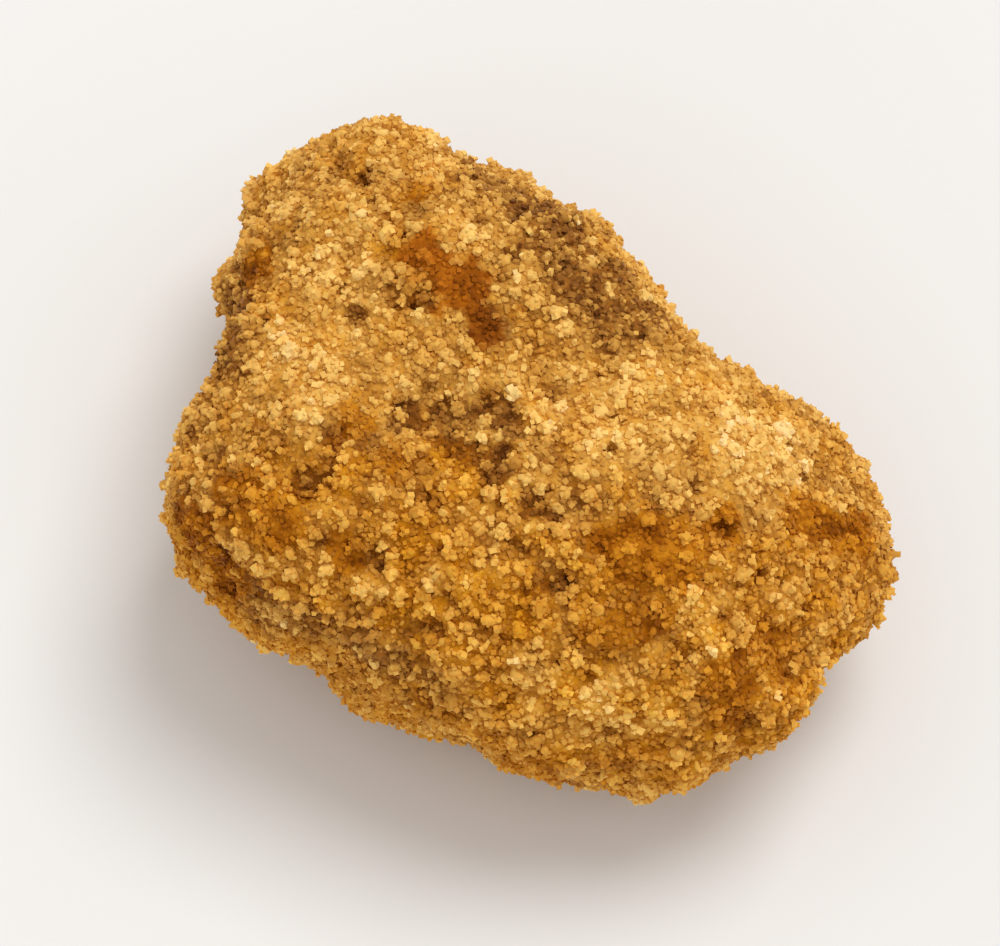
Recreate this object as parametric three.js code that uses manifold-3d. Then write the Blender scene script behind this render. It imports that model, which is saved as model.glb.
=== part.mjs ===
// A lump of jaggery, knocked off a larger cake of set cane syrup. It is one piece, solid right through:
// broken faces whose corners have crumbled round, with a waist on each side and a knobbly skin.
// Millimetres, +Z up. +X runs along the length, and the origin is the middle of the box's underside,
// on the flat that the lump rests on.

import * as THREE from "three";
import { ImprovedNoise } from "three/addons/math/ImprovedNoise.js";
import { mergeVertices } from "three/addons/utils/BufferGeometryUtils.js";
import Module from "manifold-3d";

const wasm = await Module();
wasm.setup();

// Driving dimensions: the finished lump's box.
const LENGTH = 26.2;
const WIDTH = 18.4;
const HEIGHT = 14.4;

// The lump is measured out from its heart, this high above the resting flat.
const HEART_HEIGHT = 6.6;

// How crisp the corners between the faces are: a higher number is a sharper corner.
const CORNER_CRISPNESS = 8;

// How finely the skin is divided: each side of an icosahedron's faces is cut into one more than this.
const SKIN_DETAIL = 17;

// Broken faces: turn is the heading in degrees from +X towards +Y, tilt is the angle above level, and
// reach is the distance from the heart.
const FACES = [
  { turn: 10, tilt: 4, reach: 14.1 }, // blunt end, far corner
  { turn: 344, tilt: -4, reach: 13.4 }, // blunt end, near corner
  { turn: 304, tilt: 10, reach: 10.1 },
  { turn: 270, tilt: -4, reach: 9.8 },
  { turn: 231, tilt: 0, reach: 12.7 },
  { turn: 207, tilt: -8, reach: 11.9 },
  { turn: 178, tilt: 12, reach: 12.8 }, // narrow end
  { turn: 145, tilt: 4, reach: 14.6 },
  { turn: 108, tilt: 14, reach: 8.8 },
  { turn: 84, tilt: -10, reach: 8.2 },
  { turn: 42, tilt: 8, reach: 11.9 },
  { turn: 285, tilt: 84, reach: 7.9 }, // the broad top
  { turn: 8, tilt: 46, reach: 10.6 },
  { turn: 72, tilt: 46, reach: 8.6 },
  { turn: 146, tilt: 50, reach: 9.9 },
  { turn: 216, tilt: 48, reach: 10.0 },
  { turn: 290, tilt: 42, reach: 9.6 },
  { turn: 330, tilt: -46, reach: 10.2 }, // undercuts below the widest line
  { turn: 255, tilt: -48, reach: 9.2 },
  { turn: 190, tilt: -44, reach: 9.8 },
  { turn: 110, tilt: -46, reach: 9.0 },
  { turn: 40, tilt: -45, reach: 9.8 },
];

// Swells and hollows: lift is how far the skin stands out, or in where it is negative, and spread is
// the half angle over which it fades.
const SWELLS = [
  { turn: 72, tilt: 14, lift: -3.0, spread: 18 }, // the waist on the far side
  { turn: 98, tilt: 17, lift: -0.5, spread: 9 },
  { turn: 203, tilt: 5, lift: -4.0, spread: 15 }, // the waist by the narrow end
  { turn: 222, tilt: -1, lift: 0.4, spread: 9 },
  { turn: 194, tilt: 9, lift: 1.3, spread: 8 }, // the narrow end's shoulder
  { turn: 176, tilt: 12, lift: -1.8, spread: 8 }, // the notch behind the shoulder
  { turn: 151, tilt: 19, lift: 1.0, spread: 12 }, // the narrow end's nose
  { turn: 29, tilt: -3, lift: 1.0, spread: 12 }, // the blunt end's nose
  { turn: 54, tilt: 5, lift: -0.8, spread: 9 },
  { turn: 1, tilt: -13, lift: -1.5, spread: 8 }, // the chipped near corner
  { turn: 337, tilt: -18, lift: 0.8, spread: 11 },
  { turn: 300, tilt: -20, lift: -1.2, spread: 9 },
  { turn: 298, tilt: -4, lift: -0.7, spread: 12 },
  { turn: 60, tilt: 74, lift: -0.8, spread: 16 }, // the hollow on top
  { turn: 230, tilt: 72, lift: -0.5, spread: 12 },
  { turn: 350, tilt: 64, lift: 0.5, spread: 18 },
  { turn: 24, tilt: 40, lift: 0.5, spread: 20 }, // the rounded shoulder of the blunt end
  { turn: 158, tilt: 42, lift: 0.9, spread: 15 },
  { turn: 245, tilt: 34, lift: 0.5, spread: 18 },
];

// Unevenness of the skin, coarse to fine: how long its waves are and how far they stand out.
const WAVES = [
  { length: 6.4, height: 0.55 },
  { length: 1.7, height: 0.2 },
];

// Knobs of the skin: rounded hills about this far apart, with creases between them this deep.
const KNOBS = { length: 3.8, height: 0.9 };

const noise = new ImprovedNoise();

/** The unit vector that a heading and a tilt point along. */
function heading({ turn, tilt }) {
  const a = THREE.MathUtils.degToRad(turn);
  const b = THREE.MathUtils.degToRad(tilt);
  return new THREE.Vector3(Math.cos(a) * Math.cos(b), Math.sin(a) * Math.cos(b), Math.sin(b));
}

const faces = FACES.map((face) => ({ ...face, normal: heading(face) }));
const swells = SWELLS.map((swell) => ({ ...swell, normal: heading(swell) }));

/** The noise at a point of the skin, stretched to a wave's length. */
function wavering(point, { length }) {
  return noise.noise(point.x / length + length, point.y / length, point.z / length - length);
}

/** How far the waves and knobs lift a point of the skin. */
function relief(point) {
  const knob = KNOBS.height * Math.abs(wavering(point, KNOBS));
  return WAVES.reduce((sum, wave) => sum + wave.height * wavering(point, wave), knob);
}

/** The distance from the heart to the skin along a direction, without the relief. */
function skinReach(direction) {
  const closeness = faces.reduce((sum, { normal, reach }) => {
    return sum + Math.max(0, direction.dot(normal) / reach) ** CORNER_CRISPNESS;
  }, 0);
  const swelling = swells.reduce((sum, { normal, lift, spread }) => {
    const away = THREE.MathUtils.radToDeg(direction.angleTo(normal));
    return sum + lift * Math.exp(-((away / spread) ** 2));
  }, 0);
  return closeness ** (-1 / CORNER_CRISPNESS) + swelling;
}

/** The whole skin, closed and merged, around the heart. */
function skinGeometry() {
  const geometry = new THREE.IcosahedronGeometry(1, SKIN_DETAIL);
  const place = geometry.getAttribute("position");
  const direction = new THREE.Vector3();
  for (let i = 0; i < place.count; i++) {
    direction.fromBufferAttribute(place, i).normalize();
    const smooth = direction.clone().multiplyScalar(skinReach(direction));
    const rough = smooth.addScaledVector(direction, relief(smooth));
    place.setXYZ(i, rough.x, rough.y, rough.z);
  }
  return positionsOnly(geometry);
}

/** Leaves a geometry nothing but its positions and merges its shared corners. */
function positionsOnly(geometry) {
  geometry.deleteAttribute("normal");
  geometry.deleteAttribute("uv");
  return mergeVertices(geometry);
}

/** A closed geometry as a solid. */
function solidOf(geometry) {
  return new wasm.Manifold(
    new wasm.Mesh({
      numProp: 3,
      vertProperties: geometry.getAttribute("position").array,
      triVerts: new Uint32Array(geometry.index.array),
    }),
  );
}

/** A solid as a geometry. */
function geometryOf(solid) {
  const mesh = solid.getMesh();
  const geometry = new THREE.BufferGeometry();
  geometry.setAttribute("position", new THREE.BufferAttribute(mesh.vertProperties, 3));
  geometry.setIndex(new THREE.BufferAttribute(mesh.triVerts, 1));
  return geometry;
}

/** The lump, cut off level at the resting flat. */
function lumpGeometry() {
  const below = new THREE.BoxGeometry(4 * LENGTH, 4 * LENGTH, LENGTH);
  below.translate(0, 0, -HEART_HEIGHT - LENGTH / 2);
  return geometryOf(solidOf(skinGeometry()).subtract(solidOf(positionsOnly(below))));
}

/** Brings a geometry to the driving dimensions, standing on the origin. */
function fitToBox(geometry) {
  geometry.computeBoundingBox();
  const size = geometry.boundingBox.getSize(new THREE.Vector3());
  const middle = geometry.boundingBox.getCenter(new THREE.Vector3());
  geometry.translate(-middle.x, -middle.y, -geometry.boundingBox.min.z);
  geometry.scale(LENGTH / size.x, WIDTH / size.y, HEIGHT / size.z);
  return geometry;
}

const jaggery = new THREE.MeshStandardMaterial({ color: 0xb17730, roughness: 0.75, metalness: 0 });

const lump = new THREE.Mesh(fitToBox(lumpGeometry()), jaggery);
lump.name = "jaggery_lump";

const part = new THREE.Group();
part.add(lump);

export default part;
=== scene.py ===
"""The looks of a lump of jaggery.

A body of set cane syrup is worked into crumbs, knots and pits. Lumpy crumbs of sugar are sunk half way
into it, and fine angular grains lie between and on them. The weathered top is pale and dusty. The broken
front is deeper in colour and more crumbly, and some patches are amber or rust where crumbs have come off.
"""

import logging
import math
from dataclasses import dataclass, field, replace
from enum import Enum

import bmesh
import bpy
import numpy as np
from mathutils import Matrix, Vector, kdtree, noise
from mathutils.bvhtree import BVHTree


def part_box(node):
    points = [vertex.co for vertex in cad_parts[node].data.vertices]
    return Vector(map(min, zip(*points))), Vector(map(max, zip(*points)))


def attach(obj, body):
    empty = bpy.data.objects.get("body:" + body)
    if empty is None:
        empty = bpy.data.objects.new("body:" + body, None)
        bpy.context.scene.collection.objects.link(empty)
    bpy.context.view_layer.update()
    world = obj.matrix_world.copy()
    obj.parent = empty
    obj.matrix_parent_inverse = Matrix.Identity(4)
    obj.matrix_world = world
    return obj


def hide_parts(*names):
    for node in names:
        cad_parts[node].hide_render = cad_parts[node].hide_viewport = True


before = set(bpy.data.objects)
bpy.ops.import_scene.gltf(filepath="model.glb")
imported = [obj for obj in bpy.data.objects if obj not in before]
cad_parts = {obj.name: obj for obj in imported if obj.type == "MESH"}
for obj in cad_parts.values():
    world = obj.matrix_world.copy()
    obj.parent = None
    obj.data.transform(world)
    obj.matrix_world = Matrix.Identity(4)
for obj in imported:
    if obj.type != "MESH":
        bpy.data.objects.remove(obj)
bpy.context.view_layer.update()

MM = 0.001
LUMP_NODE = "jaggery_lump"
BAKE_MAP = "OFBake"
SHADER_LOOKS = ("tint", "amber", "rust")

# Mixes the middle of a pit's cell into a number that looks random.
CELL_MIX = (12.99, 78.23, 37.72)
CELL_STRETCH = 43758.5

# The mean height of the hills that domes() gives.
DOME_MEAN = 0.75

log = logging.getLogger("jaggery")

Array = np.ndarray
Colour = tuple[float, float, float, float]
Place = tuple[float, ...]
Socket = bpy.types.NodeSocket


def linear(red: int, green: int, blue: int) -> Colour:
    """Turns a display colour into the linear colour that a shader takes.

    Args:
        red: Red, from 0 to 255.
        green: Green, from 0 to 255.
        blue: Blue, from 0 to 255.

    Returns:
        The linear red, green, blue and an alpha of 1.
    """
    parts = [((c / 255 + 0.055) / 1.055) ** 2.4 if c > 10 else c / 255 / 12.92 for c in (red, green, blue)]
    return (parts[0], parts[1], parts[2], 1.0)


def eased(value: Array, low: float, high: float) -> Array:
    """Gives 0 below low and 1 above high, with a smooth rise between them.

    Args:
        value: The numbers to ease.
        low: Where the rise starts.
        high: Where the rise ends.

    Returns:
        Numbers from 0 to 1.
    """
    share = np.clip((value - low) / (high - low), 0.0, 1.0)
    return share * share * (3.0 - 2.0 * share)


def ripple(points: Array, length: float, seed: float = 0.0) -> Array:
    """Gives smooth noise at each point.

    Args:
        points: Places, one row each, in metres.
        length: How long one wave of the noise is, in metres.
        seed: Shifts the noise, so that two calls differ.

    Returns:
        One number for each point, from about -1 to 1.
    """
    return np.array([noise.noise(p) for p in (points / length + seed).tolist()])


def domes(points: Array, length: float, seed: float = 0.0) -> Array:
    """Gives rounded hills with creases between them, as packed crumbs have.

    Args:
        points: Places, one row each, in metres.
        length: How far apart the hills are, in metres.
        seed: Shifts the hills, so that two calls differ.

    Returns:
        One number for each point: 1 on top of a hill, and near 0 in the creases.
    """
    nearest = np.array([noise.voronoi(p)[0][0] for p in (points / length + seed).tolist()])
    return 1.0 - np.minimum(nearest, 1.0) ** 2


def pocks(points: Array, length: float, radius: float, seed: float = 0.0) -> Array:
    """Gives small round pits, strewn at random and of uneven size.

    Args:
        points: Places, one row each, in metres.
        length: How far apart the pits are, in metres.
        radius: How far the largest reach, in metres.
        seed: Shifts the pits, so that two calls differ.

    Returns:
        One number for each point: 1 at the bottom of a pit, and 0 outside.
    """
    found = [noise.voronoi(p) for p in (points / length + seed).tolist()]
    away = np.array([near[0][0] for near in found]) * length
    middles = np.array([near[1][0] for near in found])
    chance = np.modf(np.abs(np.sin(middles @ CELL_MIX) * CELL_STRETCH))[0]
    reach = radius * np.clip(1.7 * chance - 0.5, 0.05, 1.0)
    return 1.0 - eased(away / reach, 0.3, 1.0)


def read(items: bpy.types.bpy_prop_collection, name: str, width: int = 1, kind: type = int) -> Array:
    """Reads one property of all the items of a mesh's list.

    Args:
        items: The list.
        name: The property's name.
        width: How many numbers it has.
        kind: What they are, int or float.

    Returns:
        The numbers, one row for each item if there is more than one.
    """
    values = np.empty(len(items) * width, dtype=np.int32 if kind is int else np.float32)
    items.foreach_get(name, values)
    values = values.astype(kind)
    return values.reshape(-1, width) if width > 1 else values


def write_looks(mesh: bpy.types.Mesh, looks: dict[str, Array]) -> None:
    """Writes the numbers that the materials read.

    Args:
        mesh: The mesh that gets them.
        looks: One number for each of its points, by name.
    """
    for name, values in looks.items():
        layer = mesh.attributes.new(name, "FLOAT", "POINT")
        layer.data.foreach_set("value", values.astype(np.float32))


def lay_flat(mesh: bpy.types.Mesh, places: Array) -> None:
    """Gives a mesh its flat map, from a place in the unit square for each corner of its faces."""
    mesh.uv_layers.new(name=BAKE_MAP).uv.foreach_set("vector", places.astype(np.float32).ravel())


def as_piece(mesh: bpy.types.Mesh) -> bpy.types.Object:
    """Makes a piece of sugar of a mesh.

    Args:
        mesh: The mesh, with the piece's name.

    Returns:
        The piece.
    """
    piece = bpy.data.objects.new(mesh.name, mesh)
    bpy.context.scene.collection.objects.link(piece)
    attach(piece, "root")
    return piece


@dataclass(frozen=True)
class Wave:
    """Noise of one size.

    Attributes:
        height: How high it is.
        length: How long one wave is, in metres.
        seed: Shifts it, so that no two waves agree.
    """

    height: float
    length: float
    seed: float

    def at(self, points: Array) -> Array:
        """Gives its height at each point."""
        return self.height * ripple(points, self.length, self.seed)


@dataclass(frozen=True)
class Bumps:
    """Rounded bumps of one size, packed side by side.

    Attributes:
        length: How far apart they are, in metres.
        height: How high they stand where the crust is at its roughest.
        least: The share of that height that is left where it is smoothest.
        seed: Shifts them, so that no two sizes agree.
    """

    length: float
    height: float
    least: float
    seed: float

    def at(self, points: Array, crumbly: Array) -> Array:
        """Says how far they lift each point, given how rough the crust is there."""
        rise = self.height * (self.least + (1.0 - self.least) * crumbly)
        return rise * (domes(points, self.length, self.seed) - DOME_MEAN)


class Look(Enum):
    """How a patch of the crust differs from the rest."""

    AMBER = "amber"  # deeper in colour, with fewer pale grains
    RUST = "rust"  # nearly bare and redder, as where a crumb has broken off
    HOLLOW = "hollow"  # sunk and darker, with fewer crumbs; the darkening is painted shade in the hollow
    SHADE = "shade"  # darker, browner and more pitted; on the left and lower flanks the darkening is painted shade
    PALE = "pale"  # paler and less deep in colour


@dataclass(frozen=True)
class LumpShape:
    """The lump's plain shape, on which places are found.

    Attributes:
        low: The lowest corner of the lump's box.
        size: The box, along X, Y and Z.
        tree: The shape's faces, for finding places on them.
    """

    low: Array
    size: Array
    tree: BVHTree

    @classmethod
    def of(cls, node: str) -> "LumpShape":
        """Takes the shape from the frame.

        Args:
            node: The lump's node.

        Returns:
            Its shape.
        """
        low, high = (np.array(corner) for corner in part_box(node))
        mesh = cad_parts[node].data
        corners = [vertex.co for vertex in mesh.vertices]
        faces = [face.vertices for face in mesh.polygons]
        return cls(low, high - low, BVHTree.FromPolygons(corners, faces))

    def spot(self, place: Place) -> Array:
        """Finds a place on the lump.

        Args:
            place: Shares of the box along X and Y, for what shows from above, or along X, Y and Z.

        Returns:
            The point that is straight below the shares of X and Y, or nearest to all three.
        """
        if len(place) == 3:
            return np.array(self.tree.find_nearest(self.low + self.size * place)[0])
        above = self.low + self.size * (*place, 1.1)
        return np.array(self.tree.ray_cast(above, (0.0, 0.0, -1.0))[0])


@dataclass(frozen=True)
class Patch:
    """A patch of the crust, either round or drawn out into a band.

    Attributes:
        look: How it differs from the rest.
        start: The place of its middle, or of one end.
        radius: How far it reaches, in metres.
        strength: How strongly it shows, up to 1.
        end: The place of its other end, if it is drawn out.
    """

    look: Look
    start: Place
    radius: float
    strength: float = 1.0
    end: Place | None = None

    def away(self, shape: LumpShape, points: Array) -> Array:
        """Says how far off the patch's middle line each point is.

        Args:
            shape: The shape that the patch lies on.
            points: The points.

        Returns:
            The distance to the line, counted in the patch's radius.
        """
        start = shape.spot(self.start)
        line = shape.spot(self.end or self.start) - start
        along = np.clip((points - start) @ line / max(line @ line, MM * MM), 0.0, 1.0)
        return np.linalg.norm(points - start - along[:, None] * line, axis=1) / self.radius


# How wide each look's faded edge is, as a share of its patch's radius.
SOFTNESS = {Look.AMBER: 0.6, Look.RUST: 0.4, Look.HOLLOW: 0.85, Look.SHADE: 0.85, Look.PALE: 0.85}

PATCHES = (
    # The comma where a crumb has come off the narrow lobe, and the pits beside it
    Patch(Look.RUST, (0.32, 0.62), 1.1 * MM, 1.0, (0.37, 0.62)),
    Patch(Look.RUST, (0.37, 0.62), 0.55 * MM, 1.0, (0.43, 0.59)),
    Patch(Look.SHADE, (0.38, 0.62), 0.7 * MM, 0.7, (0.43, 0.59)),
    Patch(Look.HOLLOW, (0.30, 0.55), 0.5 * MM, 0.8, (0.34, 0.57)),
    Patch(Look.HOLLOW, (0.28, 0.48), 0.4 * MM),
    Patch(Look.PALE, (0.31, 0.73), 0.7 * MM, 0.8),
    # The dip between the two lobes, its hollows painted darker as shade
    Patch(Look.HOLLOW, (0.42, 0.40), 0.8 * MM, 1.0, (0.47, 0.43)),
    Patch(Look.HOLLOW, (0.49, 0.48), 0.8 * MM, 1.0, (0.52, 0.49)),
    Patch(Look.HOLLOW, (0.48, 0.41), 0.7 * MM, 0.9, (0.55, 0.41)),
    Patch(Look.HOLLOW, (0.62, 0.39), 0.7 * MM),
    Patch(Look.HOLLOW, (0.53, 0.57), 0.5 * MM, 0.5),
    Patch(Look.HOLLOW, (0.68, 0.31), 0.7 * MM, 0.7),
    # The narrow lobe
    Patch(Look.PALE, (0.20, 0.57), 1.8 * MM, 0.7),
    Patch(Look.PALE, (0.24, 0.37), 1.8 * MM, 0.7, (0.30, 0.36)),
    Patch(Look.AMBER, (0.12, 0.46), 0.9 * MM, 0.9),
    Patch(Look.AMBER, (0.24, 0.73), 0.8 * MM, 0.7),
    Patch(Look.HOLLOW, (0.16, 0.70), 0.4 * MM, 0.7),
    Patch(Look.HOLLOW, (0.07, 0.52), 0.5 * MM, 0.8),
    # Painted shade down the left flank
    Patch(Look.SHADE, (0.11, 0.41), 1.2 * MM, 0.8, (0.17, 0.31)),
    # The far edge
    Patch(Look.SHADE, (0.28, 0.86), 1.7 * MM, 1.0, (0.42, 0.83)),
    Patch(Look.SHADE, (0.42, 0.80), 1.6 * MM, 1.0, (0.54, 0.81)),
    Patch(Look.SHADE, (0.55, 0.73), 1.0 * MM, 0.5),
    # The broad lobe's top
    Patch(Look.PALE, (0.58, 0.60), 2.0 * MM, 0.8, (0.66, 0.70)),
    Patch(Look.PALE, (0.72, 0.74), 1.8 * MM, 0.9, (0.80, 0.78)),
    Patch(Look.HOLLOW, (0.79, 0.82), 0.5 * MM, 0.8),
    Patch(Look.AMBER, (0.81, 0.59), 0.8 * MM, 0.9),
    Patch(Look.HOLLOW, (0.81, 0.59), 0.4 * MM, 0.7),
    Patch(Look.AMBER, (0.86, 0.72), 0.9 * MM, 1.0, (0.92, 0.80)),
    Patch(Look.HOLLOW, (0.88, 0.76), 0.4 * MM, 0.7, (0.91, 0.79)),
    Patch(Look.AMBER, (0.74, 0.50), 0.7 * MM, 0.8, (0.80, 0.53)),
    # The broken side of the broad lobe
    Patch(Look.AMBER, (0.73, 0.43), 1.2 * MM, 1.0, (0.79, 0.45)),
    Patch(Look.AMBER, (0.81, 0.39), 0.9 * MM, 0.8, (0.77, 0.31)),
    Patch(Look.PALE, (0.83, 0.44), 0.8 * MM, 1.0, (0.89, 0.42)),
    Patch(Look.AMBER, (0.92, 0.41), 1.1 * MM, 0.9, (0.94, 0.37)),
    Patch(Look.AMBER, (0.94, 0.52), 1.3 * MM, 0.8),
    Patch(Look.PALE, (0.76, 0.20), 1.5 * MM, 0.8, (0.82, 0.24)),
    Patch(Look.PALE, (0.86, 0.29), 0.9 * MM, 0.7),
    Patch(Look.AMBER, (0.84, 0.20), 0.7 * MM, 0.7, (0.88, 0.25)),
    # The broken front
    Patch(Look.AMBER, (0.31, 0.11), 1.1 * MM, 0.9, (0.37, 0.09)),
    Patch(Look.AMBER, (0.37, 0.32), 0.7 * MM, 0.7),
    Patch(Look.AMBER, (0.44, 0.31), 0.8 * MM, 0.7),
    Patch(Look.AMBER, (0.46, 0.13), 0.8 * MM, 0.9),
    Patch(Look.AMBER, (0.28, 0.03), 1.2 * MM, 1.0, (0.33, 0.02)),
    Patch(Look.HOLLOW, (0.36, 0.27), 0.5 * MM, 0.6),
    Patch(Look.HOLLOW, (0.37, 0.17), 0.5 * MM, 0.7, (0.39, 0.20)),
    Patch(Look.HOLLOW, (0.50, 0.29), 0.5 * MM, 0.7),
    Patch(Look.HOLLOW, (0.49, 0.15), 0.6 * MM, 0.7),
    Patch(Look.HOLLOW, (0.60, 0.12), 0.6 * MM, 0.7),
    # Painted shade along the lower flanks, where they turn away from the light
    Patch(Look.SHADE, (0.26, 0.05), 1.5 * MM, 0.5, (0.31, 0.03)),
    Patch(Look.SHADE, (0.37, 0.02), 1.3 * MM, 0.6, (0.47, 0.03)),
    Patch(Look.SHADE, (0.50, 0.05), 1.3 * MM, 0.6, (0.61, 0.07)),
    # The back and the foot
    Patch(Look.AMBER, (0.10, 0.75, 0.35), 2.0 * MM, 0.8),
    Patch(Look.AMBER, (0.60, 0.95, 0.50), 1.8 * MM, 0.8),
    Patch(Look.AMBER, (0.75, 0.10, 0.35), 1.9 * MM, 0.8),
    Patch(Look.RUST, (0.85, 0.90, 0.35), 1.3 * MM, 0.8),
    Patch(Look.HOLLOW, (0.30, 0.95, 0.40), 1.2 * MM, 0.9),
    Patch(Look.HOLLOW, (1.00, 0.55, 0.30), 1.1 * MM, 0.8),
    Patch(Look.HOLLOW, (0.40, 0.05, 0.25), 1.2 * MM, 0.8),
)

# The edge between the weathered top and the broken front, seen from above: shares of the box along X and Y.
BROW = ((0.0, -0.2), (0.2, 0.1), (0.5, 0.45), (0.65, 0.43), (0.8, 0.6), (1.0, 1.0))


@dataclass(frozen=True)
class CrustMap:
    """How the crust varies over the lump.

    Attributes:
        shape: The lump's plain shape.
        patches: The patches that lie on it.
        brow: The edge of the broken front.
        brow_band: How far before and past the brow the front begins and is complete.
        brow_wave: How the brow wanders.
        edge: Where a patch has faded half way, counted in its radius.
        edge_waves: How the edges of the patches wander, counted in their radius.
        roughness: How rough the crust is at its calmest, and how much the front and shade add.
        rough_wave: How the roughness wanders.
        pit_spacing: How far apart the small pits are.
        pit_radius: How far the largest of them reach.
        pit_seed: Shifts them.
        amber_bareness: How bare of crumbs an amber patch is.
        amber_redness: How red an amber patch is.
        depth: How deep the sugar's colour is on the top, and how much the front adds.
        depth_shifts: How far a look deepens it.
        depth_waves: How the depth wanders.
        paleness: How pale the sugar is where nothing shifts it.
        tint_shifts: How far each look shifts the paleness; the darkening by hollows, and by the shade
            patches on the flanks, is painted shade.
        tint_waves: How the paleness wanders.
        pit_shade_tint: How far a small pit shifts it darker, as painted shade in the pit.
    """

    shape: LumpShape
    patches: tuple[Patch, ...] = PATCHES
    brow: tuple[tuple[float, float], ...] = BROW
    brow_band: tuple[float, float] = (-0.4 * MM, 1.4 * MM)
    brow_wave: Wave = Wave(0.5 * MM, 1.6 * MM, 4.4)
    edge: float = 0.9
    edge_waves: tuple[Wave, ...] = (Wave(0.6, 0.9 * MM, 3.7), Wave(0.45, 0.35 * MM, 8.1))
    roughness: tuple[float, float, float] = (0.3, 0.5, 0.4)
    rough_wave: Wave = Wave(0.25, 3.1 * MM, 17.0)
    pit_spacing: float = 1.0 * MM
    pit_radius: float = 0.4 * MM
    pit_seed: float = 21.4
    amber_bareness: float = 0.7
    amber_redness: float = 0.35
    depth: tuple[float, float] = (0.14, 0.4)
    depth_shifts: tuple[tuple[Look, float], ...] = ((Look.SHADE, -0.4), (Look.PALE, -0.15))
    depth_waves: tuple[Wave, ...] = (Wave(0.55, 1.3 * MM, 15.2), Wave(0.35, 0.6 * MM, 26.2))
    paleness: float = 0.61
    tint_shifts: tuple[tuple[Look, float], ...] = (
        (Look.PALE, 0.21),
        (Look.SHADE, -0.28),
        (Look.AMBER, -0.10),
        (Look.RUST, -0.12),
        (Look.HOLLOW, -0.25),
    )
    tint_waves: tuple[Wave, ...] = (
        Wave(0.08, 4.2 * MM, 31.0),
        Wave(0.09, 1.0 * MM, 40.6),
        Wave(0.12, 0.45 * MM, 52.3),
    )
    pit_shade_tint: float = -0.14

    def strength(self, look: Look, points: Array) -> Array:
        """Says how strongly one look shows.

        Args:
            look: The look asked for.
            points: Places on the lump, in metres.

        Returns:
            One number for each point, from 0 to 1.
        """
        ragged = sum(wave.at(points) for wave in self.edge_waves)
        half = 0.5 * SOFTNESS[look]
        found = np.zeros(len(points))
        for patch in self.patches:
            if patch.look is look:
                away = patch.away(self.shape, points) + ragged
                faded = eased(away, self.edge - half, self.edge + half)
                found = np.maximum(found, patch.strength * (1.0 - faded))
        return found

    def shifted(self, shifts: tuple[tuple[Look, float], ...], points: Array) -> Array:
        """Adds up how far the looks shift a number at each point."""
        return sum(share * self.strength(look, points) for look, share in shifts)

    def front(self, points: Array) -> Array:
        """Says how far over the brow each point is.

        Args:
            points: Places on the lump, in metres.

        Returns:
            One number for each point, from 0 on the weathered top to 1 on the broken front.
        """
        place = (points - self.shape.low) / self.shape.size
        along, across = np.array(self.brow).T
        over = (np.interp(place[:, 0], along, across) - place[:, 1]) * self.shape.size[1]
        return eased(over + self.brow_wave.at(points), *self.brow_band)

    def crumbly(self, points: Array) -> Array:
        """Says how rough the crust is.

        Args:
            points: Places on the lump, in metres.

        Returns:
            One number for each point, from 0 for the smoothest to 1.
        """
        least, front, shade = self.roughness
        rough = least + front * self.front(points) + shade * self.strength(Look.SHADE, points)
        return np.clip(rough + self.rough_wave.at(points), 0.0, 1.0)

    def hollow(self, points: Array) -> Array:
        """Says how deep in a hollow each point is, from 0 to 1."""
        return self.strength(Look.HOLLOW, points)

    def pits(self, points: Array) -> Array:
        """Says how deep in a small pit each point is, from 0 to 1."""
        deep = pocks(points, self.pit_spacing, self.pit_radius, self.pit_seed)
        return deep * (1.0 - self.bare(points))

    def broken(self, points: Array, amber_share: float) -> Array:
        """Says how freshly broken the crust is.

        Args:
            points: Places on the lump, in metres.
            amber_share: How much an amber patch counts, where a rust one counts 1.

        Returns:
            One number for each point, from 0 to 1.
        """
        amber = amber_share * self.strength(Look.AMBER, points)
        return np.maximum(self.strength(Look.RUST, points), amber)

    def rust(self, points: Array) -> Array:
        """Says how red each point is, from 0 to 1."""
        return self.broken(points, self.amber_redness)

    def bare(self, points: Array) -> Array:
        """Says how bare of crumbs each point is, from 0 to 1."""
        return self.broken(points, self.amber_bareness)

    def mottle(self, points: Array) -> Array:
        """Says how unlike its neighbours each bit of the crust is, from 0 to 1."""
        return np.maximum(self.strength(Look.SHADE, points), self.hollow(points))

    def amber(self, points: Array) -> Array:
        """Says how deep the sugar's colour is.

        Args:
            points: Places on the lump, in metres.

        Returns:
            One number for each point, from 0 for dusty to 1 for clear amber.
        """
        wander = sum(wave.at(points) for wave in self.depth_waves) + self.shifted(self.depth_shifts, points)
        deep = self.depth[0] + self.depth[1] * self.front(points) + wander
        return np.clip(np.maximum(deep, self.strength(Look.AMBER, points)), 0.0, 1.0)

    def tint(self, points: Array) -> Array:
        """Says how pale the sugar is, from 0 for dark brown to 1 for cream, with painted shade in small
        pits, hollows and the shade patches on the flanks.
        """
        drift = sum(wave.at(points) for wave in self.tint_waves) + self.shifted(self.tint_shifts, points)
        return self.paleness + drift + self.pit_shade_tint * self.pits(points)


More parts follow.
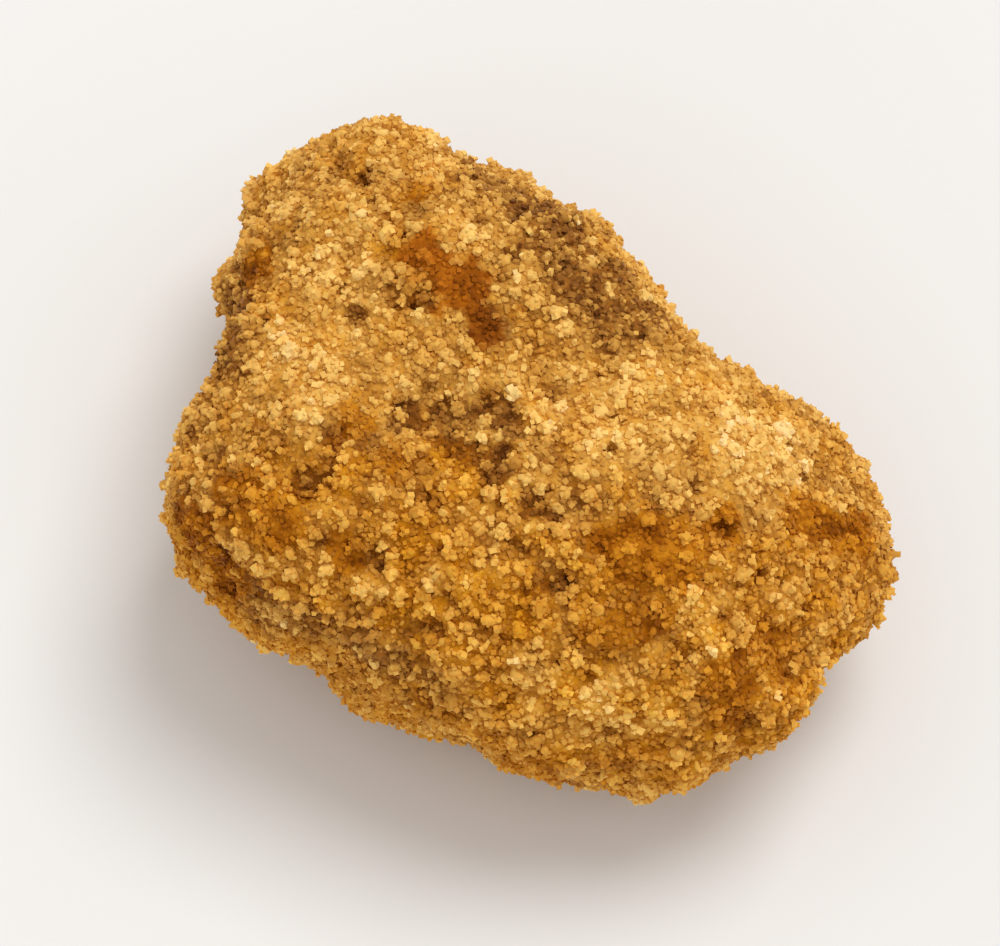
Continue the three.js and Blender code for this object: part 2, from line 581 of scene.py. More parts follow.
class NodeBench:
    """Sets out and joins the shader nodes of one material."""

    def __init__(self, name: str) -> None:
        """Starts a material.

        Args:
            name: The material's name.
        """
        self.material = bpy.data.materials.new(name)
        self.material.use_nodes = True
        self.tree = self.material.node_tree
        self.surface = self.tree.nodes["Principled BSDF"]

    def add(self, kind: str, **settings: object) -> bpy.types.Node:
        """Adds a node.

        Args:
            kind: The node's type.
            **settings: Its properties, by name.

        Returns:
            The new node.
        """
        node = self.tree.nodes.new(kind)
        for key, value in settings.items():
            setattr(node, key, value)
        return node

    def join(self, start: Socket, end: Socket) -> None:
        """Links an output to an input."""
        self.tree.links.new(start, end)

    def attribute(self, name: str) -> Socket:
        """Reads one of the mesh's own numbers."""
        return self.add("ShaderNodeAttribute", attribute_name=name).outputs["Fac"]

    def ramp(self, source: Socket, stops: dict[float, Colour]) -> Socket:
        """Turns a number into a colour.

        Args:
            source: The number.
            stops: Linear colours by their place on the ramp, at least two.

        Returns:
            The colour.
        """
        node = self.add("ShaderNodeValToRGB")
        marks = node.color_ramp.elements
        while len(marks) < len(stops):
            marks.new(0.5)
        for mark, place in zip(marks, sorted(stops)):
            mark.position = place
        for mark, place in zip(marks, sorted(stops)):
            mark.color = stops[place]
        self.join(source, node.inputs["Fac"])
        return node.outputs["Color"]

    def speckle(self, length: float, detail: float = 2.0) -> Socket:
        """Gives noise fixed to the object.

        Args:
            length: How far apart its spots are, in metres.
            detail: How many finer layers it has.

        Returns:
            A number around 0.5.
        """
        place = self.add("ShaderNodeTexCoord").outputs["Object"]
        node = self.add("ShaderNodeTexNoise")
        node.inputs["Scale"].default_value = 1.0 / length
        node.inputs["Detail"].default_value = detail
        self.join(place, node.inputs["Vector"])
        return node.outputs["Fac"]

    def sum(self, first: Socket, second: Socket, share: float) -> Socket:
        """Adds a share of one number, counted from its middle of 0.5, to another.

        Args:
            first: The number that is kept.
            second: The number of which a share is added.
            share: How much of it.

        Returns:
            The sum.
        """
        centred = self.add("ShaderNodeMath", operation="SUBTRACT")
        self.join(second, centred.inputs[0])
        centred.inputs[1].default_value = 0.5
        added = self.add("ShaderNodeMath", operation="MULTIPLY_ADD")
        self.join(centred.outputs[0], added.inputs[0])
        added.inputs[1].default_value = share
        self.join(first, added.inputs[2])
        return added.outputs[0]

    def blend(self, share: Socket, low: Socket, high: Socket) -> Socket:
        """Mixes two colours.

        Args:
            share: How much of the second one shows.
            low: The first colour.
            high: The second colour.

        Returns:
            The mixed colour.
        """
        node = self.add("ShaderNodeMix", data_type="RGBA")
        self.join(share, node.inputs[0])
        self.join(low, node.inputs[6])
        self.join(high, node.inputs[7])
        return node.outputs[2]

    def spread(self, source: Socket, low: float, high: float) -> Socket:
        """Stretches a number from 0 to 1 over another range.

        Args:
            source: The number.
            low: What 0 becomes.
            high: What 1 becomes.

        Returns:
            The new number.
        """
        node = self.add("ShaderNodeMapRange")
        self.join(source, node.inputs["Value"])
        node.inputs["To Min"].default_value = low
        node.inputs["To Max"].default_value = high
        return node.outputs["Result"]


DUSTY = {
    0.0: linear(102, 56, 18),
    0.3: linear(161, 105, 42),
    0.6: linear(220, 166, 76),
    0.85: linear(246, 204, 116),
    1.0: linear(252, 220, 156),
}
CLEAR = {
    0.0: linear(96, 46, 0),
    0.3: linear(162, 92, 4),
    0.6: linear(216, 144, 24),
    0.85: linear(244, 184, 60),
    1.0: linear(252, 208, 104),
}
RUSTY = {
    0.0: linear(104, 46, 0),
    0.4: linear(174, 96, 10),
    0.8: linear(214, 136, 34),
    1.0: linear(232, 166, 70),
}


# What every sugar finish shares: how it bends light, the colour of its dust, and how far red, green and
# blue light go in it, as shares of its glow depth.
SUGAR_IOR = 1.5
DUST_COLOUR = linear(255, 226, 178)
GLOW_REACH = (1.0, 0.42, 0.12)


@dataclass(frozen=True)
class SugarFinish:
    """A finish of sugar.

    Attributes:
        name: The material's name.
        speckle_length: How far apart its spots are, in metres.
        speckle_share: How far the spots shift its paleness.
        roughness: Its lowest and highest roughness.
        shine: How strongly it mirrors light.
        dust: How strongly fine dust shows where it is seen aslant.
        glow: How much light passes through it.
        glow_depth: How deep that light goes, in metres.
        bump_height: How high its finest grain stands, in metres.
    """

    name: str
    speckle_length: float
    speckle_share: float
    roughness: tuple[float, float]
    shine: float
    dust: float
    glow: float
    glow_depth: float
    bump_height: float = 0.0

    def material(self) -> bpy.types.Material:
        """Makes the material, which reads the mesh's numbers named tint, amber and rust.

        Returns:
            The material.
        """
        bench = NodeBench(self.name)
        spots = bench.speckle(self.speckle_length)
        paleness = bench.sum(bench.attribute("tint"), spots, self.speckle_share)
        dusty, clear = bench.ramp(paleness, DUSTY), bench.ramp(paleness, CLEAR)
        sugar = bench.blend(bench.attribute("amber"), dusty, clear)
        colour = bench.blend(bench.attribute("rust"), sugar, bench.ramp(paleness, RUSTY))
        bench.join(colour, bench.surface.inputs["Base Color"])
        fine = bench.speckle(0.5 * self.speckle_length, detail=1.0)
        bench.join(bench.spread(fine, *self.roughness), bench.surface.inputs["Roughness"])
        bench.surface.inputs["IOR"].default_value = SUGAR_IOR
        bench.surface.inputs["Specular IOR Level"].default_value = self.shine
        bench.surface.inputs["Sheen Weight"].default_value = self.dust
        bench.surface.inputs["Sheen Tint"].default_value = DUST_COLOUR
        bench.surface.inputs["Subsurface Weight"].default_value = self.glow
        bench.surface.inputs["Subsurface Radius"].default_value = GLOW_REACH
        bench.surface.inputs["Subsurface Scale"].default_value = self.glow_depth
        if self.bump_height:
            bump = bench.add("ShaderNodeBump")
            bump.inputs["Distance"].default_value = self.bump_height
            bench.join(fine, bump.inputs["Height"])
            bench.join(bump.outputs["Normal"], bench.surface.inputs["Normal"])
        return bench.material


@dataclass(frozen=True)
class FloorFinish:
    """A smooth, pale, matt floor.

    Attributes:
        name: The material's name.
        colour: Its colour.
        cloudy: The colour that it wanders to.
        cloud_length: How far apart the clouds of that colour are, in metres.
        roughness: How rough it is.
    """

    name: str = "pale_floor"
    colour: Colour = linear(234, 233, 231)
    cloudy: Colour = linear(231, 230, 228)
    cloud_length: float = 40 * MM
    roughness: float = 0.9

    def material(self) -> bpy.types.Material:
        """Makes the material.

        Returns:
            The material.
        """
        bench = NodeBench(self.name)
        colour = bench.ramp(bench.speckle(self.cloud_length), {0.3: self.cloudy, 0.7: self.colour})
        bench.join(colour, bench.surface.inputs["Base Color"])
        bench.surface.inputs["Roughness"].default_value = self.roughness
        return bench.material


BODY_FINISH = SugarFinish(
    name="set_syrup",
    speckle_length=0.2 * MM,
    speckle_share=0.4,
    roughness=(0.45, 0.75),
    shine=0.05,
    dust=0.02,
    glow=0.12,
    glow_depth=0.35 * MM,
    bump_height=0.06 * MM,
)

CRUMB_FINISH = SugarFinish(
    name="sugar_crumb",
    speckle_length=0.2 * MM,
    speckle_share=0.15,
    roughness=(0.35, 0.65),
    shine=0.06,
    dust=0.08,
    glow=0.0,
    glow_depth=0.2 * MM,
)


@dataclass
class SugarBody:
    """The body under the crust: the lump's own shape with crumbs, knots, grains and pits worked into it.

    Attributes:
        crust: How the crust varies.
        voxel: How fine the skin is.
        smoothing: How many times the flats of the lump's shape are eased.
        inset: How far the skin lies inside the lump's shape, to leave room for the crust.
        heart: The place from which the whole skin shows, in shares of the box.
        map_half: The half side of the square that the skin's flat map fills.
        bumps: The crumbs, the knots on the crumbs, and the grains on the knots.
        shakes: How the bumps are pushed out of line, along X, Y and Z.
        pit_depth: How deep the small pits are.
        hollow_depth: How deep the hollows are.
        hollow_gap: How strongly a hollow keeps crumbs off.
        crease_reach: How many steps along the skin a crease is told by.
        crease_depth: How deep a crease is before its looks change by a full share.
        crease_shade_tint: How much darker that makes it, as painted shade in the crease; a crest is made
            paler in the same way, as painted light.
        crease_shade_amber: How much that deepens its colour, as painted shade; a crest is made less deep in
            colour.
        under: How the body's looks differ from those of the crust on it: darker and deeper in colour,
            mostly as painted shade in the gaps between the crumbs.
        finish: How it is finished.
        object: The piece.
        points: The points of its skin.
        normals: The direction in which the skin faces at each of them.
        looks: The crust's numbers there, by name.
    """

    crust: CrustMap
    voxel: float = 0.14 * MM
    smoothing: int = 12
    inset: float = 0.14 * MM
    heart: Place = (0.5, 0.5, 0.46)
    map_half: float = 0.485
    bumps: tuple[Bumps, ...] = (
        Bumps(2.6 * MM, 0.65 * MM, 0.6, 0.4),
        Bumps(1.15 * MM, 0.38 * MM, 0.45, 6.6),
        Bumps(0.52 * MM, 0.10 * MM, 0.6, 9.9),
    )
    shakes: tuple[Wave, ...] = tuple(Wave(0.3 * MM, 1.4 * MM, seed) for seed in (1.3, 7.9, 13.1))
    pit_depth: float = 0.25 * MM
    hollow_depth: float = 0.32 * MM
    hollow_gap: float = 0.45
    crease_reach: int = 24
    crease_depth: float = 0.12 * MM
    crease_shade_tint: float = 0.14
    crease_shade_amber: float = 0.12
    under: dict[str, float] = field(default_factory=lambda: {"tint": -0.13, "amber": 0.3})
    finish: SugarFinish = BODY_FINISH
    object: bpy.types.Object = field(init=False)
    points: Array = field(init=False)
    normals: Array = field(init=False)
    looks: dict[str, Array] = field(init=False)

    def build(self) -> bpy.types.Object:
        """Makes the body and dresses it.

        Returns:
            The body's object.
        """
        mesh = self._remeshed()
        ends = read(mesh.edges, "vertices", 2)
        points = self._averaged(read(mesh.vertices, "co", 3, float), ends, self.smoothing)
        self._unfold(mesh, points)
        height = self._height(points)
        points = points + self._shaped(mesh, points) * height[:, None]
        points[:, 2] = np.maximum(points[:, 2], 0.0)
        self.points = points
        self.normals = self._shaped(mesh, points)
        # Painted shade and light: a point lower than its neighbours is made darker and deeper in colour,
        # and one higher is made paler.
        standing = height - self._averaged(height[:, None], ends, self.crease_reach)[:, 0]
        relief_shading = np.clip(standing / self.crease_depth, -1.5, 1.0)
        self.looks = {
            "tint": self.crust.tint(points) + self.crease_shade_tint * relief_shading,
            "amber": self.crust.amber(points) - self.crease_shade_amber * relief_shading,
            "rust": self.crust.rust(points),
            "bare": self.crust.bare(points),
            "gap": np.maximum(self.crust.pits(points), self.hollow_gap * self.crust.hollow(points)),
            "mottle": self.crust.mottle(points),
        }
        # The body is painted darker and deeper in colour than the crust, mostly as shade in the gaps
        # between the crumbs.
        write_looks(mesh, {name: self.looks[name] + self.under.get(name, 0.0) for name in SHADER_LOOKS})
        mesh.materials.clear()
        mesh.materials.append(self.finish.material())
        self.object = as_piece(mesh)
        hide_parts(LUMP_NODE)
        return self.object

    def triangles(self) -> Array:
        """Gives the skin's triangles, as threes of its points."""
        self.object.data.calc_loop_triangles()
        return read(self.object.data.loop_triangles, "vertices", 3)

    def _remeshed(self) -> bpy.types.Mesh:
        """Gives the lump's shape in fine, even faces.

        Returns:
            The mesh, shaded smooth.
        """
        copy = bpy.data.objects.new("shape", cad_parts[LUMP_NODE].data.copy())
        bpy.context.scene.collection.objects.link(copy)
        remesh = copy.modifiers.new("even", "REMESH")
        remesh.mode = "VOXEL"
        remesh.voxel_size = self.voxel
        remesh.use_smooth_shade = True
        shaped = copy.evaluated_get(bpy.context.evaluated_depsgraph_get())
        mesh = bpy.data.meshes.new_from_object(shaped)
        bpy.data.objects.remove(copy)
        mesh.name = "sugar_body"
        return mesh

    def _averaged(self, values: Array, ends: Array, times: int) -> Array:
        """Averages values over the skin.

        Args:
            values: One row for each point of the skin.
            ends: The two points of each edge.
            times: How many times each point takes the mean of its neighbours.

        Returns:
            The averaged values.
        """
        starts, stops = np.concatenate([ends, ends[:, ::-1]]).T
        count = np.bincount(starts, minlength=len(values))
        for _ in range(times):
            columns = [np.bincount(starts, column[stops], len(values)) / count for column in values.T]
            values = np.stack(columns, axis=1)
        return values

    def _shaped(self, mesh: bpy.types.Mesh, points: Array) -> Array:
        """Moves the mesh's points.

        Args:
            mesh: The mesh.
            points: Where its points go.

        Returns:
            The direction that the skin then faces at each point.
        """
        mesh.vertices.foreach_set("co", points.ravel())
        mesh.update()
        return read(mesh.vertex_normals, "vector", 3, float)

    def _height(self, points: Array) -> Array:
        """Works out how far the skin stands out.

        Args:
            points: The eased points.

        Returns:
            How far each one moves outwards, in metres.
        """
        shaken = points + np.stack([shake.at(points) for shake in self.shakes], axis=1)
        crumbly = self.crust.crumbly(points)
        height = np.full(len(points), -self.inset)
        for bumps in self.bumps:
            height += bumps.at(shaken, crumbly)
        pits, hollow = self.crust.pits(points), self.crust.hollow(points)
        return height - self.pit_depth * pits - self.hollow_depth * hollow

    def _unfold(self, mesh: bpy.types.Mesh, points: Array) -> None:
        """Gives the skin a flat map, laid out as the eight sides of an octahedron unfold into a square.

        Args:
            mesh: The mesh that gets the map.
            points: Its eased points, which all show from the lump's heart.
        """
        heart = self.crust.shape.low + self.crust.shape.size * self.heart
        corners, starts = read(mesh.loops, "vertex_index"), read(mesh.polygons, "loop_start")
        counts = np.diff(np.append(starts, len(corners)))
        way = (points - heart)[corners]
        side = np.where(np.add.reduceat(way, starts) < 0.0, -1.0, 1.0).repeat(counts, axis=0)
        x, y = (way / (way * side).sum(axis=1, keepdims=True)).T[:2]
        under = side[:, 2] < 0.0
        u = np.where(under, side[:, 0] * (1.0 - side[:, 1] * y), x)
        v = np.where(under, side[:, 1] * (1.0 - side[:, 0] * x), y)
        lay_flat(mesh, 0.5 + self.map_half * np.stack([u, v], axis=1))


class Cut(Enum):
    """The rough solid that a bit of sugar is cut from."""

    BLOCK = "block"  # eight corners, as a crystal has
    BALL = "ball"  # forty-two corners

    def solid(self) -> tuple[Array, Array]:
        """Gives the solid.

        Returns:
            Its corners, about 1 from its middle, and its triangles.
        """
        if self is Cut.BLOCK:
            corners = np.array([[x, y, z] for x in (-1, 1) for y in (-1, 1) for z in (-1, 1)], float)
            quads = ((0, 1, 3, 2), (4, 6, 7, 5), (0, 4, 5, 1), (2, 3, 7, 6), (0, 2, 6, 4), (1, 5, 7, 3))
            faces = [(q[0], q[i], q[i + 1]) for q in quads for i in (1, 2)]
            return corners * 0.85, np.array(faces)
        mesh = bmesh.new()
        bmesh.ops.create_icosphere(mesh, subdivisions=2, radius=1.0)
        corners = np.array([tuple(vertex.co) for vertex in mesh.verts])
        faces = np.array([[vertex.index for vertex in face.verts] for face in mesh.faces])
        mesh.free()
        return corners, faces


@dataclass(frozen=True)
class Sites:
    """Places on a skin where bits of sugar stick.

    Attributes:
        points: The places.
        normals: The directions in which the skin faces there.
        looks: The crust's numbers there, by name.
    """

    points: Array
    normals: Array
    looks: dict[str, Array]

    def only(self, kept: Array) -> "Sites":
        """Gives the places that are kept."""
        looks = {name: values[kept] for name, values in self.looks.items()}
        return Sites(self.points[kept], self.normals[kept], looks)

    def with_more(self, others: "Sites") -> "Sites":
        """Gives these places and others.

        Args:
            others: The other places.

        Returns:
            All of them, these first.
        """
        looks = {name: np.append(values, others.looks[name]) for name, values in self.looks.items()}
        points = np.vstack([self.points, others.points])
        normals = np.vstack([self.normals, others.normals])
        return Sites(points, normals, looks)

    def shuffled(self, rng: np.random.Generator) -> "Sites":
        """Gives the places in a random order."""
        return self.only(rng.permutation(len(self.points)))

    def strewn(self, rng: np.random.Generator, triangles: Array, count: int) -> "Sites":
        """Picks places at random between these ones.

        Args:
            rng: The source of random numbers.
            triangles: Threes of these places, with skin between them.
            count: How many to pick.

        Returns:
            The new places.
        """
        first, second, third = (self.points[triangles[:, i]] for i in range(3))
        area = np.linalg.norm(np.cross(second - first, third - first), axis=1)
        chosen = triangles[rng.choice(len(triangles), count, p=area / area.sum())]
        share = rng.dirichlet((1.0, 1.0, 1.0), count)
        facing = np.einsum("ij,ijk->ik", share, self.normals[chosen])
        return Sites(
            np.einsum("ij,ijk->ik", share, self.points[chosen]),
            facing / np.linalg.norm(facing, axis=1, keepdims=True),
            {name: (share * values[chosen]).sum(axis=1) for name, values in self.looks.items()},
        )

    def spaced(self, spacing: float) -> "Sites":
        """Drops the places that lie too close to an earlier one.

        Args:
            spacing: The least distance between two.

        Returns:
            The places that are left.
        """
        tree = kdtree.KDTree(len(self.points))
        for index, point in enumerate(self.points):
            tree.insert(point, index)
        tree.balance()
        free = np.ones(len(self.points), dtype=bool)
        kept = np.zeros(len(self.points), dtype=bool)
        for index, point in enumerate(self.points):
            if free[index]:
                kept[index] = True
                for _, other, _ in tree.find_range(point, spacing):
                    free[other] = False
        return self.only(kept)

    def thinned(self, rng: np.random.Generator, **shares: float) -> "Sites":
        """Drops places at random where the crust is thin.

        Args:
            rng: The source of random numbers.
            **shares: The share dropped where each look is at its strongest, by the look's name.

        Returns:
            The places that are left.
        """
        drop = np.max([share * self.looks[name] for name, share in shares.items()], axis=0)
        return self.only(rng.random(len(self.points)) > drop)


@dataclass(frozen=True)
class BitKind:
    """One kind of bit in the crust.

    Attributes:
        name: The piece's name.
        cut: The solid that it is cut from.
        smallest: The length of a small one, in metres.
        largest: The length of a large one.
        narrowest: The least width of one, as a share of its length.
        lumpiness: How far its lumps stand out, as a share of its length.
        jitter: How far its corners are shaken, as a share of its length.
        stand: How far its middle stands over the skin, as a share of its length.
        paler: How much paler it is than the sugar round it.
        spread: How much its paleness varies from one bit to the next.
        lumps: How many lumps it has.
        lump_crispness: How steep they are.
        length_draw: The two numbers of the beta draw of its length, here with most bits small.
    """

    name: str
    cut: Cut
    smallest: float
    largest: float
    narrowest: float
    lumpiness: float
    jitter: float
    stand: float
    paler: float
    spread: float
    lumps: int = 5
    lump_crispness: float = 5.0
    length_draw: tuple[float, float] = (1.4, 3.2)

    def shapes(self, rng: np.random.Generator, count: int) -> Array:
        """Makes bits of different shapes.

        Args:
            rng: The source of random numbers.
            count: How many to make.

        Returns:
            The corners of each one, about 1 from its middle.
        """
        solid = self.cut.solid()[0]
        lumps = rng.normal(size=(count, self.lumps, 3))
        lumps /= np.linalg.norm(lumps, axis=2, keepdims=True)
        close = np.einsum("vi,nki->nvk", solid / np.linalg.norm(solid, axis=1, keepdims=True), lumps)
        rise = np.exp(self.lump_crispness * (close - 1.0)).sum(axis=2, keepdims=True)
        swell = 1.0 + self.lumpiness * (rise - 1.0)
        shapes = solid[None] * swell * rng.uniform(self.narrowest, 1.0, (count, 1, 3))
        return shapes + rng.normal(0.0, self.jitter, shapes.shape)


PALE_CRUMBS = BitKind(
    name="pale_crumbs",
    cut=Cut.BALL,
    smallest=0.30 * MM,
    largest=1.00 * MM,
    narrowest=0.5,
    lumpiness=0.3,
    jitter=0.03,
    stand=0.03,
    paler=0.06,
    spread=0.03,
)
HONEY_CRUMBS = replace(
    PALE_CRUMBS,
    name="honey_crumbs",
    smallest=0.28 * MM,
    largest=0.95 * MM,
    stand=0.0,
    paler=0.02,
    spread=0.035,
)
LIGHT_GRAINS = BitKind(
    name="light_grains",
    cut=Cut.BLOCK,
    smallest=0.15 * MM,
    largest=0.34 * MM,
    narrowest=0.55,
    lumpiness=0.0,
    jitter=0.10,
    stand=0.12,
    paler=0.02,
    spread=0.03,
)
BROWN_GRAINS = replace(
    LIGHT_GRAINS, name="brown_grains", smallest=0.14 * MM, largest=0.32 * MM, stand=0.06, paler=-0.03
)


@dataclass
class SugarBits:
    """Bits of sugar of one kind, stuck to a skin as a single piece.

    Attributes:
        kind: Their kind.
        sites: Where they stick.
        finish: What they are finished with.
        most_triangles: The most triangles that the piece may have.
        mottled_spread: How much more its paleness varies where the crust is mottled.
        outer: How far a face must turn out to count as on the outer side, from -1 to 1.
        cell_share: The half of a cell of its flat map that a bit fills.
        object: The piece.
        corners: The corners of all the bits.
        facing: The way out of its bit at each corner.
        triangles: Threes of those corners.
    """

    kind: BitKind
    sites: Sites
    finish: bpy.types.Material
    most_triangles: int = 196_000
    mottled_spread: float = 0.09
    outer: float = 0.05
    cell_share: float = 0.3
    object: bpy.types.Object = field(init=False)
    corners: Array = field(init=False)
    facing: Array = field(init=False)
    triangles: Array = field(init=False)

    def build(self, rng: np.random.Generator) -> "SugarBits":
        """Makes the bits.

        Args:
            rng: The source of random numbers.

        Returns:
            These same bits.
        """
        solid, faces = self.kind.cut.solid()
        most = self.most_triangles // len(faces)
        if len(self.sites.points) > most:
            log.info("%s: %d of %d places used", self.kind.name, most, len(self.sites.points))
            self.sites = self.sites.only(np.sort(rng.permutation(len(self.sites.points))[:most]))
        count = len(self.sites.points)
        drawn = rng.beta(*self.kind.length_draw, count)
        length = self.kind.smallest + (self.kind.largest - self.kind.smallest) * drawn
        shapes = self.kind.shapes(rng, count)
        turned = np.einsum("nij,nkj->nki", self._turns(rng, count), shapes)
        middles = self.sites.points + self.sites.normals * (self.kind.stand * length)[:, None]
        points = middles[:, None] + turned * (0.5 * length)[:, None, None]
        points[..., 2] = np.maximum(points[..., 2], 0.0)
        spread = self.kind.spread + self.mottled_spread * self.sites.looks["mottle"]
        self.sites.looks["tint"] += self.kind.paler + spread * rng.normal(size=count)
        self.corners = points.reshape(-1, 3)
        self.facing = (turned / np.linalg.norm(turned, axis=2, keepdims=True)).reshape(-1, 3)
        self.triangles = (faces[None] + (np.arange(count) * len(solid))[:, None, None]).reshape(-1, 3)
        mesh = bpy.data.meshes.new(self.kind.name)
        mesh.from_pydata(self.corners, [], self.triangles)
        smooth = np.full(len(mesh.polygons), self.kind.cut is Cut.BALL)
        mesh.polygons.foreach_set("use_smooth", smooth)
        write_looks(mesh, {name: np.repeat(self.sites.looks[name], len(solid)) for name in SHADER_LOOKS})
        self._lay_out(mesh, shapes)
        mesh.materials.append(self.finish)
        self.object = as_piece(mesh)
        return self

    def skin(self, rng: np.random.Generator, count: int) -> Sites:
        """Picks places at random on the outer side of the bits.

        Args:
            rng: The source of random numbers.
            count: How many to pick, before those on the inner side are dropped.

        Returns:
            The places.
        """
        each = len(self.corners) // len(self.sites.points)
        looks = {name: np.repeat(values, each) for name, values in self.sites.looks.items()}
        outwards = np.repeat(self.sites.normals, each, axis=0)
        out = (self.facing * outwards).sum(axis=1)
        kept = self.triangles[out[self.triangles].mean(axis=1) > self.outer]
        return Sites(self.corners, self.facing, looks).strewn(rng, kept, count)

    def _lay_out(self, mesh: bpy.types.Mesh, shapes: Array) -> None:
        """Gives the piece a flat map with one cell for each bit, in which it is seen from above.

        Args:
            mesh: The piece's mesh.
            shapes: The corners of each bit, about its own middle.
        """
        across = math.ceil(math.sqrt(len(shapes)))
        number = np.arange(len(shapes))
        cell = np.stack([number % across, number // across], axis=1)[:, None] + 0.5
        spread_out = cell + self.cell_share * np.clip(shapes[..., :2], -1.3, 1.3)
        places = (spread_out / across).reshape(-1, 2)
        lay_flat(mesh, places[read(mesh.loops, "vertex_index")])

    def _turns(self, rng: np.random.Generator, count: int) -> Array:
        """Gives random turns.

        Args:
            rng: The source of random numbers.
            count: How many to give.

        Returns:
            One matrix for each.
        """
        spun = rng.normal(size=(count, 4))
        w, x, y, z = (spun / np.linalg.norm(spun, axis=1, keepdims=True)).T
        rows = (
            (1 - 2 * (y * y + z * z), 2 * (x * y - z * w), 2 * (x * z + y * w)),
            (2 * (x * y + z * w), 1 - 2 * (x * x + z * z), 2 * (y * z - x * w)),
            (2 * (x * z - y * w), 2 * (y * z + x * w), 1 - 2 * (x * x + y * y)),
        )
        return np.stack([np.stack(row, axis=1) for row in rows], axis=1)


@dataclass
class SugarCrust:
    """The crust on the body: crumbs sunk half way in, with grains between and on them.

    Attributes:
        body: The body that it sticks to.
        seed: Sets every random choice.
        crumb_spacing: The least distance between crumbs.
        grain_spacing: The least distance between grains.
        crumb_tries: How many places are tried for crumbs.
        grain_tries: How many are tried for grains on the body.
        heap_tries: How many are tried for grains on each kind of crumb.
        finish: How it is finished.
    """

    body: SugarBody
    seed: int = 11
    crumb_spacing: float = 0.375 * MM
    grain_spacing: float = 0.165 * MM
    crumb_tries: int = 40_000
    grain_tries: int = 110_000
    heap_tries: int = 50_000
    finish: SugarFinish = CRUMB_FINISH

    def build(self) -> list[bpy.types.Object]:
        """Makes the crumbs and the grains.

        Returns:
            One object for each kind.
        """
        rng = np.random.default_rng(self.seed)
        material = self.finish.material()
        body = Sites(self.body.points, self.body.normals, self.body.looks)
        triangles = self.body.triangles()
        places = body.strewn(rng, triangles, self.crumb_tries).spaced(self.crumb_spacing)
        places = places.thinned(rng, bare=0.9, gap=0.8)
        crumbs = self._sorted_out(rng, places, (PALE_CRUMBS, HONEY_CRUMBS), material)
        places = body.strewn(rng, triangles, self.grain_tries).thinned(rng, bare=0.3, gap=0.5)
        # Grains on the body between the crumbs get the same painted shade of the gaps.
        places.looks["tint"] += self.body.under["tint"]
        for heap in crumbs:
            places = places.with_more(heap.skin(rng, self.heap_tries))
        places = places.shuffled(rng).spaced(self.grain_spacing)
        grains = self._sorted_out(rng, places, (LIGHT_GRAINS, BROWN_GRAINS), material)
        return [bits.object for bits in crumbs + grains]

    def _sorted_out(
        self,
        rng: np.random.Generator,
        places: Sites,
        kinds: tuple[BitKind, ...],
        material: bpy.types.Material,
    ) -> list[SugarBits]:
        """Shares places out between kinds at random and makes their bits.

        Args:
            rng: The source of random numbers.
            places: The places.
            kinds: The kinds.
            material: What the bits are finished with.

        Returns:
            The bits of each kind.
        """
        drawn = rng.integers(0, len(kinds), len(places.points))
        shares = [places.only(drawn == number) for number in range(len(kinds))]
        return [SugarBits(kind, share, material).build(rng) for kind, share in zip(kinds, shares)]


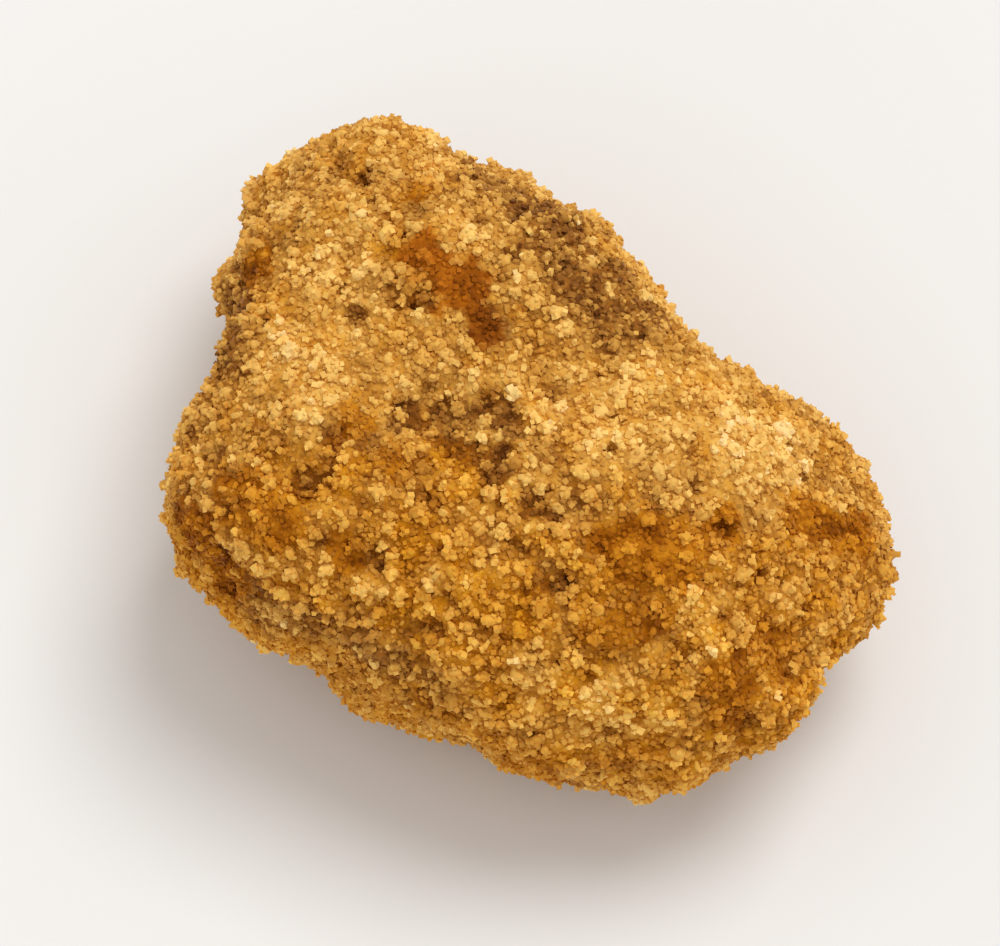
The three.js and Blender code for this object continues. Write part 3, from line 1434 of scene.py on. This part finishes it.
@dataclass
class Studio:
    """A pale floor, soft light and the camera.

    Attributes:
        shape: The lump's plain shape.
        azimuth: The direction that the camera looks from, in degrees.
        elevation: How high it looks from, in degrees above level.
        distance: How far it stands from the lump.
        view_width: The width that it sees at the lump.
        floor_side: The side of the floor.
        room_light: How bright the room is overhead.
        horizon_light: How bright it is at the horizon, where it meets the floor.
        horizon_band: How far up the horizon's light reaches, as a share of straight up.
        room_colour: The room's colour.
        sun_way: The window light's direction, to the camera's right, up in its view and back.
        sun_width: How wide that light is, in degrees.
        sun_power: How bright it is.
        finish: How the floor is finished.
    """

    shape: LumpShape
    azimuth: float = 39.0
    elevation: float = 70.0
    distance: float = 0.36
    view_width: float = 33.0 * MM
    floor_side: float = 1.6
    room_light: float = 0.72
    horizon_light: float = 0.93
    horizon_band: float = 0.35
    room_colour: Colour = (1.0, 0.99, 0.97, 1.0)
    sun_way: tuple[float, float, float] = (0.29, 0.61, 0.74)
    sun_width: float = 30.0
    sun_power: float = 1.45
    finish: FloorFinish = FloorFinish()

    def build(self) -> None:
        """Makes the floor, the light and the camera."""
        self._floor()
        self._world()
        self._sun()
        self._camera()

    def _middle(self) -> Vector:
        """Gives the middle of the lump's box."""
        return Vector(self.shape.low + self.shape.size / 2)

    def _axes(self) -> tuple[Vector, Vector, Vector]:
        """Gives the camera's directions.

        Returns:
            The ways to its right, up in its view, and back towards it.
        """
        turn, rise = math.radians(self.azimuth), math.radians(self.elevation)
        right = Vector((math.cos(turn), math.sin(turn), 0.0))
        back = Vector((math.sin(turn) * math.cos(rise), -math.cos(turn) * math.cos(rise), math.sin(rise)))
        return right, back.cross(right), back

    def _floor(self) -> None:
        """Lays the floor under the lump."""
        half = self.floor_side / 2
        mesh = bpy.data.meshes.new("floor")
        corners = [(-half, -half, 0), (half, -half, 0), (half, half, 0), (-half, half, 0)]
        mesh.from_pydata(corners, [], [(0, 1, 2, 3)])
        mesh.materials.append(self.finish.material())
        floor = bpy.data.objects.new("floor", mesh)
        bpy.context.scene.collection.objects.link(floor)

    def _world(self) -> None:
        """Lights everything softly from all round, a little more from low down."""
        world = bpy.data.worlds.new("soft_room")
        world.use_nodes = True
        tree = world.node_tree
        split = tree.nodes.new("ShaderNodeSeparateXYZ")
        fade = tree.nodes.new("ShaderNodeMapRange")
        fade.inputs["From Max"].default_value = self.horizon_band
        fade.inputs["To Min"].default_value = self.horizon_light
        fade.inputs["To Max"].default_value = self.room_light
        tree.links.new(tree.nodes.new("ShaderNodeTexCoord").outputs["Generated"], split.inputs[0])
        tree.links.new(split.outputs["Z"], fade.inputs["Value"])
        tree.links.new(fade.outputs["Result"], tree.nodes["Background"].inputs["Strength"])
        tree.nodes["Background"].inputs["Color"].default_value = self.room_colour
        bpy.context.scene.world = world
        bpy.context.scene.view_settings.view_transform = "Standard"

    def _sun(self) -> None:
        """Shines soft light from one side."""
        light = bpy.data.lights.new("window_light", "SUN")
        light.angle = math.radians(self.sun_width)
        light.energy = self.sun_power
        sun = bpy.data.objects.new("window_light", light)
        way = sum((share * axis for share, axis in zip(self.sun_way, self._axes())), Vector())
        sun.rotation_euler = way.to_track_quat("Z", "Y").to_euler()
        bpy.context.scene.collection.objects.link(sun)

    def _camera(self) -> None:
        """Points the camera at the middle of the lump."""
        data = bpy.data.cameras.new("camera")
        data.lens = data.sensor_width * self.distance / self.view_width
        data.clip_start = 0.01
        camera = bpy.data.objects.new("camera", data)
        back = self._axes()[2]
        camera.location = self._middle() + self.distance * back
        camera.rotation_euler = back.to_track_quat("Z", "Y").to_euler()
        bpy.context.scene.collection.objects.link(camera)
        bpy.context.scene.camera = camera


def main() -> None:
    """Builds the lump and the studio round it."""
    logging.basicConfig(level=logging.INFO, format="%(name)s: %(message)s")
    shape = LumpShape.of(LUMP_NODE)
    body = SugarBody(CrustMap(shape))
    pieces = [body.build()]
    pieces += SugarCrust(body).build()
    for piece in pieces:
        log.info("%s: %d faces", piece.name, len(piece.data.polygons))
    Studio(shape).build()


if __name__ == "__main__":
    main()
